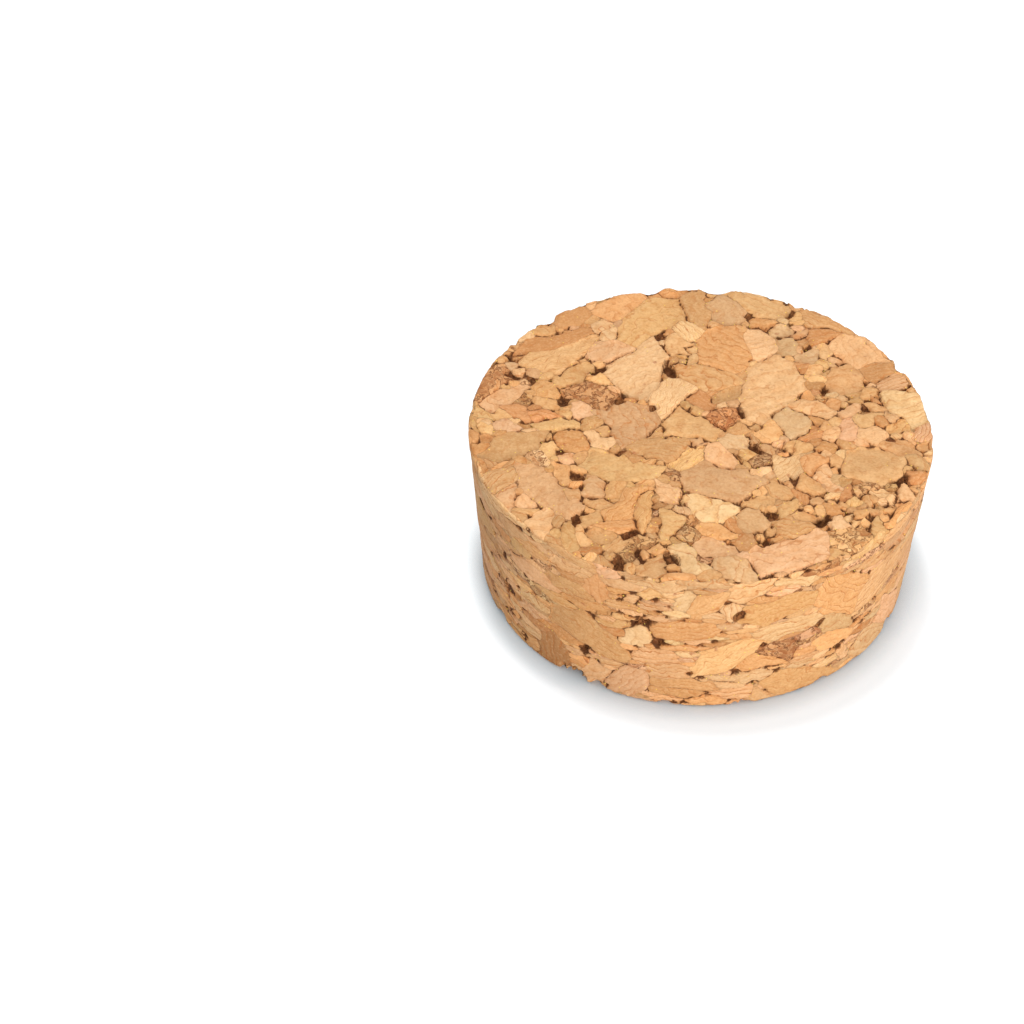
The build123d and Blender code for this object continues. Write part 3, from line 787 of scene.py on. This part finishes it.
def chip_depth(points):
    """How deep the crumbled spots on the rims go at each point."""
    depth = np.zeros(len(points))
    for chips, z in ((TOP_CHIPS, HEIGHT), (BASE_CHIPS, 0)):
        for degrees, deep in chips:
            turn = math.radians(degrees)
            centre = np.array([math.sin(turn), -math.cos(turn), 0]) * wall_radius(z) + (0, 0, z)
            gap = np.linalg.norm(points - centre, axis=1) / (0.4 + 1.1 * deep)
            depth = np.maximum(depth, deep * np.clip(1.5 - gap, 0, 1))
    way = unrolled(points) + points[:, :2]
    return depth * np.clip(0.75 + 0.7 * ripple(way, 0.9, SEED + 60), 0.1, 1.3)


def joint_measures(points, triangles, owner, finish):
    """At each point: how far the nearest joint is, how open it stands there along its length and
    at its ends, and whether the point is on it."""
    sides, pairs = joint_edges(triangles, owner)
    chance = np.mod(np.sin(pairs.min(axis=1) * 12.9898 + pairs.max(axis=1) * 78.233) * 43758.5453, 1)
    looseness = 0.55 * chance + 0.45 * finish.loose[pairs].max(axis=1)
    pair_open = np.clip(looseness, 0, 1) ** 2.4
    pair_open *= np.clip(finish.size[pairs].min(axis=1) / 1.4, 0.3, 1.0)
    pair_open[finish.pit[pairs].any(axis=1)] = 0.8
    over_rim = finish.skin[pairs[:, 0]] != finish.skin[pairs[:, 1]]
    pair_open[over_rim] *= 0.4
    openness = np.zeros(len(points))
    np.maximum.at(openness, sides.ravel(), np.repeat(pair_open, 2))
    on_joint = np.zeros(len(points), bool)
    on_joint[sides.ravel()] = True
    wedge = corner_gaps(points, triangles, owner, on_joint)
    tree = search_tree(points, np.flatnonzero(on_joint))
    edge = np.zeros(len(points))
    for index in np.flatnonzero(~on_joint):
        _, other, gap = tree.find(points[index])
        edge[index] = gap
        openness[index] = openness[other]
        wedge[index] = wedge[other]
    return edge, openness, wedge, on_joint


def search_tree(points, chosen):
    tree = kdtree.KDTree(len(chosen))
    for index in chosen:
        tree.insert(points[index], index)
    tree.balance()
    return tree


def corner_gaps(points, triangles, owner, on_joint):
    """How open each joint stands near the corners where three granules meet."""
    pairs = np.unique(np.stack([triangles.ravel(), np.repeat(owner, 3)], axis=1), axis=0)
    meeting = np.bincount(pairs[:, 0], minlength=len(points)) > 2
    reach = np.random.default_rng(SEED + 2).uniform(-2.4, 1.0, len(points))
    corners = search_tree(points, np.flatnonzero(meeting & (reach > 0.25)))
    wedge = np.zeros(len(points))
    for index in np.flatnonzero(on_joint):
        _, corner, gap = corners.find(points[index])
        wedge[index] = max(0.0, 1.1 - gap / reach[corner])
    return wedge


def carve(points, normals, triangles, owner, finish):
    """Sinks joints, pits, low granules and rim chips into the surface."""
    edge, openness, wedge, on_joint = joint_measures(points, triangles, owner, finish)
    sink = np.full(len(points), FAR)
    wall_spots = unrolled(points)
    on_wall_skin = finish.skin[owner] == WALL
    for corner in range(3):
        vertex = triangles[:, corner]
        spots = np.where(on_wall_skin[:, None], wall_spots[vertex], points[vertex][:, :2])
        gap = spots - finish.centre[owner]
        gap[on_wall_skin, 0] -= GIRTH * np.round(gap[on_wall_skin, 0] / GIRTH)
        np.minimum.at(sink, vertex, finish.sink[owner] + (gap * finish.tilt[owner]).sum(axis=1))
    sink = np.clip(sink, 0, None)
    wall = which_skin(points) == WALL
    pinch = np.clip(0.62 + 0.75 * ripple(wall_spots + points[:, :2], 1.7, SEED + 40), 0.05, 1.25)
    zone = 1.0 + 0.8 * ripple(wall_spots, 7.0, SEED + 41, GIRTH)
    zone = zone + 0.5 * ripple(points[:, :2], 5.0, SEED + 42)
    opened = np.maximum(openness * pinch, wedge) * np.clip(zone, 0.3, 1.5) * np.where(wall, 0.75, 1.0)
    sink += np.where(on_joint, np.where(wall, WALL_JOINT_DEPTH, FACE_JOINT_DEPTH) * opened, 0)
    edge_depth = np.where(wall, WALL_EDGE_DEPTH, FACE_EDGE_DEPTH)
    sink += edge_depth * (0.2 + openness) * np.exp(-((edge / EDGE_WIDTH) ** 2))
    sink *= np.clip(0.4 + 0.4 * points[:, 2], 0, 1)
    sink = np.maximum(sink, chip_depth(points))
    grit = ripple(wall_spots, 0.8, SEED + 50) + ripple(points[:, :2], 0.9, SEED + 51)
    swell = ripple(wall_spots, 2.4, SEED + 52) + ripple(points[:, :2], 2.6, SEED + 53)
    swell = np.where(wall, 0.02, 0.045) * grit + np.where(wall, 0.03, 0.05) * swell
    sink += swell * np.clip(0.3 + 0.4 * points[:, 2], 0, 1)
    carved = points - normals * np.clip(sink, 0, None)[:, None]
    carved[:, 2] = np.clip(carved[:, 2], 0, HEIGHT)
    return carved, edge, opened, sink


def write_attribute(mesh, name, kind, domain, values):
    field = {"FLOAT": "value", "FLOAT_VECTOR": "vector", "FLOAT_COLOR": "color"}[kind]
    attribute = mesh.attributes.new(name, kind, domain)
    attribute.data.foreach_set(field, np.ascontiguousarray(values, dtype=np.float32).ravel())


def bake_layout(mesh, points, triangles):
    """A flat layout for baking: both round faces, and the wall in two half laps under them."""
    sheet = 4 * TOP_RADIUS + 4
    corner = points[triangles]
    skin = which_skin(corner.mean(axis=1))
    spots = corner[..., :2].copy()
    spots[skin == TOP] += (TOP_RADIUS + 1, TOP_RADIUS + 2 * HEIGHT + 5)
    spots[skin == BASE] += (3 * TOP_RADIUS + 3, TOP_RADIUS + 2 * HEIGHT + 5)
    wall = skin == WALL
    strip = unrolled(corner[wall].reshape(-1, 3)).reshape(-1, 3, 2)
    strip[..., 0] -= GIRTH * np.round((strip[..., 0] - strip[:, :1, 0]) / GIRTH)
    right = strip[..., 0].mean(axis=1) > 0
    strip[right, :, 1] += HEIGHT + 2
    strip[..., 0] += np.where(right, 1, GIRTH / 2 + 1)[:, None]
    spots[wall] = strip + (0, 1)
    layer = mesh.uv_layers.new(name="OFBake")
    layer.uv.foreach_set("vector", np.ascontiguousarray(spots / sheet, dtype=np.float32).ravel())


def make_stopper():
    pattern = Pattern(lay_granules())
    body = turned_body()
    points, normals, quads, edges = mesh_arrays(body.data)
    points, on_joint, label = snap_to_joints(points, edges, pattern)
    triangles = split_quads(points, quads, on_joint, label)
    owner = pattern.at(points[triangles].mean(axis=1))
    finish = Finish(pattern, np.random.default_rng(SEED + 1))
    carved, edge, opened, sink = carve(points, normals, triangles, owner, finish)
    mesh = body.data
    mesh.clear_geometry()
    mesh.from_pydata((carved * MM).tolist(), [], triangles.tolist())
    mesh.update()
    write_attribute(mesh, "tone", "FLOAT_COLOR", "FACE", np.c_[finish.colour[owner], np.ones(len(owner))])
    write_attribute(mesh, "grain", "FLOAT_VECTOR", "FACE", finish.grain[owner])
    for name, values in (("luck", finish.luck), ("striped", finish.striped), ("rough", finish.rough)):
        write_attribute(mesh, name, "FLOAT", "FACE", values[owner])
    for name, values in (("edge", edge), ("opened", opened), ("sunk", sink)):
        write_attribute(mesh, name, "FLOAT", "POINT", values)
    bake_layout(mesh, points, triangles)
    mesh.shade_smooth()
    body.name = "stopper_cork"
    mesh.name = "stopper_cork"
    print("granules", len(pattern.granules), "triangles", len(triangles))
    return body


class Tree:
    """Builds a node tree. A value given for a socket may be a number, a colour or a socket."""

    def __init__(self, tree):
        self.tree = tree

    def feed(self, socket, value):
        if isinstance(value, bpy.types.NodeSocket):
            self.tree.links.new(value, socket)
        else:
            socket.default_value = value

    def add(self, kind, inputs=None, **settings):
        node = self.tree.nodes.new(kind)
        for key, value in settings.items():
            setattr(node, key, value)
        for key, value in (inputs or {}).items():
            self.feed(node.inputs[key], value)
        return node

    def attribute(self, name, output="Fac"):
        return self.add("ShaderNodeAttribute", attribute_name=name).outputs[output]

    def math(self, operation, *values):
        return self.add("ShaderNodeMath", dict(enumerate(values)), operation=operation).outputs[0]

    def times(self, first, second):
        return self.math("MULTIPLY", first, second)

    def times_plus(self, first, second, third):
        return self.math("MULTIPLY_ADD", first, second, third)

    def vector(self, operation, *values):
        node = self.add("ShaderNodeVectorMath", dict(enumerate(values)), operation=operation)
        return node.outputs["Value" if operation == "DOT_PRODUCT" else "Vector"]

    def scaled(self, vector, factor):
        return self.add("ShaderNodeVectorMath", {0: vector, "Scale": factor}, operation="SCALE").outputs[0]

    def ramp(self, value, start, end, low=0.0, high=1.0):
        inputs = {"Value": value, "From Min": start, "From Max": end, "To Min": low, "To Max": high}
        return self.add("ShaderNodeMapRange", inputs, interpolation_type="SMOOTHSTEP").outputs[0]

    def noise(self, vector, scale, detail, output="Fac"):
        node = self.add("ShaderNodeTexNoise", {"Vector": vector, "Scale": scale, "Detail": detail})
        return node.outputs[output]

    def blend(self, factor, first, second, kind="MIX"):
        node = self.add("ShaderNodeMix", {0: factor, 6: first, 7: second}, data_type="RGBA", blend_type=kind)
        return node.outputs[2]

    def tinted(self, factor, colour, by):
        return self.blend(factor, colour, self.blend(1.0, colour, (*by, 1), "MULTIPLY"))


def linear(*colour):
    return tuple((channel / 255) ** GAMMA for channel in colour) + (1.0,)


def cork_material():
    material = bpy.data.materials.new("pressed_cork")
    material.use_nodes = True
    material.node_tree.nodes.clear()
    t = Tree(material.node_tree)
    place = t.scaled(t.add("ShaderNodeTexCoord").outputs["Object"], 1 / MM)
    tone = t.attribute("tone", "Color")
    grain = t.attribute("grain", "Vector")
    luck, striped, rough = (t.attribute(name) for name in ("luck", "striped", "rough"))
    edge, opened, sunk = (t.attribute(name) for name in ("edge", "opened", "sunk"))

    # Growth lines: sheets across the grain, bent by soft noise, each granule at its own offset
    shift = t.add("ShaderNodeCombineXYZ", {0: t.times(luck, 41.0), 1: t.times(luck, 17.0)})
    own_place = t.vector("ADD", place, shift.outputs[0])
    wander = t.math("SUBTRACT", t.noise(own_place, 0.36, 2.0), 0.5)
    fine_wander = t.math("SUBTRACT", t.noise(own_place, 1.3, 2.0), 0.5)
    bend = t.times_plus(wander, 3.4, t.times(fine_wander, 0.45))
    sheet = t.math("ADD", t.vector("DOT_PRODUCT", own_place, grain), bend)
    own_strength = t.math("POWER", t.math("FRACT", t.times(luck, 7.3)), 1.6)
    ring_strength = t.times_plus(own_strength, 0.8, 0.4)
    ring = t.times(t.ramp(t.math("FRACT", sheet), 0.25, 1.0), ring_strength)
    thin = t.ramp(t.math("PINGPONG", sheet, 0.5), 0.0, 0.13, 1.0, 0.0)
    patchy = t.ramp(t.noise(own_place, 0.35, 3.0), 0.38, 0.56, 0.1, 1.0)
    line_strength = t.times_plus(own_strength, 0.6, t.times_plus(striped, 0.24, 0.2))
    line = t.times(t.times(thin, patchy), line_strength)
    hair = t.ramp(t.math("PINGPONG", t.times(sheet, 3.0), 0.5), 0.0, 0.3, 1.0, 0.0)
    hair = t.times(hair, t.times_plus(striped, 0.24, 0.06))
    along = t.scaled(grain, t.times(sheet, 1.4))
    fibre = t.noise(t.vector("ADD", own_place, along), 0.7, 5.0)

    # Colour inside a granule
    mottle = t.noise(own_place, 0.6, 5.0)
    colour = t.tinted(ring, tone, (0.96, 0.88, 0.79))
    colour = t.tinted(t.ramp(fibre, 0.50, 0.70), colour, (1.05, 1.08, 1.12))
    colour = t.tinted(t.ramp(fibre, 0.50, 0.30), colour, (0.93, 0.86, 0.78))
    colour = t.tinted(t.ramp(mottle, 0.50, 0.72, 0.0, 0.8), colour, (1.05, 1.08, 1.12))
    colour = t.tinted(t.ramp(mottle, 0.46, 0.28, 0.0, 0.8), colour, (0.92, 0.86, 0.80))
    stain = t.ramp(t.noise(place, 0.15, 5.0), 0.52, 0.70, 0.0, 0.5)
    colour = t.tinted(stain, colour, (0.80, 0.76, 0.72))
    colour = t.blend(hair, colour, linear(190, 122, 66))
    colour = t.blend(line, colour, linear(180, 108, 54))
    spot_cells = t.add("ShaderNodeTexVoronoi", {"Vector": own_place, "Scale": 0.7}, feature="F1").outputs
    spot_luck = t.add("ShaderNodeSeparateColor", {0: spot_cells["Color"]}).outputs[0]
    spot_gap = t.times_plus(fine_wander, 0.9, spot_cells["Distance"])
    spot = t.times(t.ramp(spot_gap, 0.0, 0.26, 1.0, 0.0), t.math("GREATER_THAN", spot_luck, 0.92))
    colour = t.blend(t.times(spot, 0.6), colour, linear(160, 92, 60))
    pores = t.noise(own_place, 3.0, 4.0)
    colour = t.blend(t.ramp(pores, 0.50, 0.72, 0.0, 0.30), colour, linear(160, 104, 60))
    colour = t.blend(t.ramp(pores, 0.50, 0.30, 0.0, 0.14), colour, linear(250, 214, 166))

    # Crumpled bark: creases that fold back on themselves, with painted shade darkening the folds and hollows
    # and the ridges left pale
    fold = t.scaled(t.vector("SUBTRACT", t.noise(own_place, 0.55, 2.0, "Color"), (0.5, 0.5, 0.5)), 3.0)
    crumple = t.noise(t.vector("ADD", own_place, fold), 0.75, 4.0)
    shaded_crease = t.ramp(t.math("ABSOLUTE", t.math("SUBTRACT", crumple, 0.5)), 0.0, 0.05, 1.0, 0.0)
    shaded_crease = t.times(shaded_crease, rough)
    hollow_shade = t.times(t.ramp(crumple, 0.50, 0.36), rough)
    # Painted shade in the hollows and along the folds of the bark
    colour = t.tinted(hollow_shade, colour, (0.62, 0.50, 0.42))
    colour = t.tinted(shaded_crease, colour, (0.38, 0.27, 0.20))

    # Joints: a faint dark line where they are shut. Where they stand open, a dark gap deepened as painted
    # shade, with a soft band of painted shade beside it
    beads = t.ramp(t.noise(place, 1.5, 2.0), 0.38, 0.60, 0.25, 1.25)
    gaping = t.times(opened, beads)
    ragged = t.times_plus(t.noise(place, 2.4, 4.0), 0.30, -0.15)
    gap = t.times_plus(ragged, t.math("ADD", gaping, 0.2), edge)
    width = t.times_plus(gaping, 0.34, 0.05)
    # A dark joint line, which widens and darkens as painted shade of the gap where the joint stands open
    joint_line_and_gap_shade = t.times(t.ramp(gap, 0.0, width, 1.0, 0.0), t.ramp(gaping, 0.0, 0.40, 0.22, 1.0))
    # Painted shade: a soft band beside open joints is darkened, where shade falls into the crevice
    joint_shade = t.times(t.ramp(edge, 0.0, 0.5, 1.0, 0.0), t.ramp(opened, 0.03, 0.6, 0.10, 0.65))
    colour = t.tinted(joint_shade, colour, (0.80, 0.58, 0.40))
    colour = t.blend(joint_line_and_gap_shade, colour, linear(86, 50, 22))
    # Painted shade: pits and other sunk places darken with their depth
    colour = t.blend(t.ramp(sunk, 0.35, 1.5, 0.0, 0.55), colour, linear(84, 48, 20))

    # Grains of golden binder, in clusters, most of them beside joints
    glue_cells = t.add("ShaderNodeTexVoronoi", {"Vector": place, "Scale": 2.6}, feature="F1").outputs
    glue_luck = t.add("ShaderNodeSeparateColor", {0: glue_cells["Color"]}).outputs[1]
    cluster = t.ramp(t.noise(place, 0.28, 2.0), 0.50, 0.70, 0.0, 0.16)
    by_joint = t.times_plus(edge, -0.08, t.math("ADD", glue_luck, cluster))
    grain_of_glue = t.ramp(glue_cells["Distance"], 0.14, 0.30, 1.0, 0.0)
    glue = t.times(grain_of_glue, t.math("GREATER_THAN", by_joint, 0.92))
    colour = t.blend(t.times(glue, 0.8), colour, linear(240, 204, 92))

    relief = t.times_plus(line, -0.4, t.times(fibre, 0.9))
    relief = t.times_plus(t.noise(own_place, 2.4, 5.0), 0.8, relief)
    relief = t.times_plus(joint_line_and_gap_shade, -1.5, t.times_plus(shaded_crease, -1.5, relief))
    bump = t.add("ShaderNodeBump", {"Height": relief, "Strength": 0.6, "Distance": 0.12 * MM})
    roughness = t.ramp(t.noise(own_place, 1.6, 3.0), 0.3, 0.7, 0.66, 0.9)
    finish = {"Base Color": colour, "Roughness": roughness, "Specular IOR Level": 0.25}
    bsdf = t.add("ShaderNodeBsdfPrincipled", {**finish, "Normal": bump.outputs[0]})
    t.add("ShaderNodeOutputMaterial", {"Surface": bsdf.outputs[0]})
    return material


def seen_directly(t):
    """1 where the camera, or a mirror or a glass, sees a surface, and 0 where light bounces off it."""
    path = t.add("ShaderNodeLightPath").outputs
    mirrored = t.math("MAXIMUM", path["Is Glossy Ray"], path["Is Transmission Ray"])
    return t.math("MAXIMUM", path["Is Camera Ray"], mirrored)


# The floor: its own paint, a glow that only the camera sees, and how near the stopper, in
# millimetres, that glow is dimmed and turned bluish, which paints a contact shadow round its foot
FLOOR_PAINT = (0.6, 0.6, 0.6, 1)
FLOOR_GLOW = 0.56
OPEN_GLOW = (0.84, 0.94, 1, 1)
CONTACT_SHADOW_GLOW = (0.42, 0.8, 1, 1)
CONTACT_REACH = 3.6


def add_floor():
    bpy.ops.mesh.primitive_plane_add(size=6.0, location=(0, 0, 0))
    floor = bpy.context.object
    floor.name = "floor"
    material = bpy.data.materials.new("white_floor")
    material.use_nodes = True
    material.node_tree.nodes.clear()
    t = Tree(material.node_tree)
    paint = t.add("ShaderNodeBsdfDiffuse", {"Color": FLOOR_PAINT})
    # Painted contact shadow: within reach of the stopper, the camera's glow dims and turns bluish
    contact_shadow_ao = t.add("ShaderNodeAmbientOcclusion", {"Distance": CONTACT_REACH * MM}, samples=3)
    clear = t.math("POWER", contact_shadow_ao.outputs["AO"], 1.3)
    glow_strength = t.times(t.times(seen_directly(t), clear), FLOOR_GLOW)
    glow_colour = t.blend(clear, CONTACT_SHADOW_GLOW, OPEN_GLOW)
    glow = t.add("ShaderNodeEmission", {"Color": glow_colour, "Strength": glow_strength})
    both = t.add("ShaderNodeAddShader", {0: paint.outputs[0], 1: glow.outputs[0]})
    t.add("ShaderNodeOutputMaterial", {"Surface": both.outputs[0]})
    floor.data.materials.append(material)


# The sky's light on the stopper. Seen directly it is plain white.
SKY_STRENGTH = 0.52


def add_lamp(name, place, size, power):
    data = bpy.data.lights.new(name, "AREA")
    data.shape = "DISK"
    data.size = size
    data.energy = power
    lamp = bpy.data.objects.new(name, data)
    lamp.location = place
    lamp.rotation_euler = (-Vector(place)).to_track_quat("-Z", "Y").to_euler()
    bpy.context.scene.collection.objects.link(lamp)


def add_light():
    world = bpy.data.worlds.new("studio")
    bpy.context.scene.world = world
    world.use_nodes = True
    world.node_tree.nodes.clear()
    t = Tree(world.node_tree)
    strength = t.times_plus(seen_directly(t), 1 - SKY_STRENGTH, SKY_STRENGTH)
    sky = t.add("ShaderNodeBackground", {"Color": (1, 1, 1, 1), "Strength": strength})
    t.add("ShaderNodeOutputWorld", {"Surface": sky.outputs[0]})
    add_lamp("key", (-0.06, 0.12, 0.80), 0.14, 3.9)
    add_lamp("front", (0.24, -0.68, 0.15), 0.28, 4.2)


bpy.context.scene.view_settings.view_transform = "Standard"
deselect()
add_camera()
stopper = make_stopper()
stopper.data.materials.clear()
stopper.data.materials.append(cork_material())
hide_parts("stopper")
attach(stopper, "root")
add_floor()
add_light()
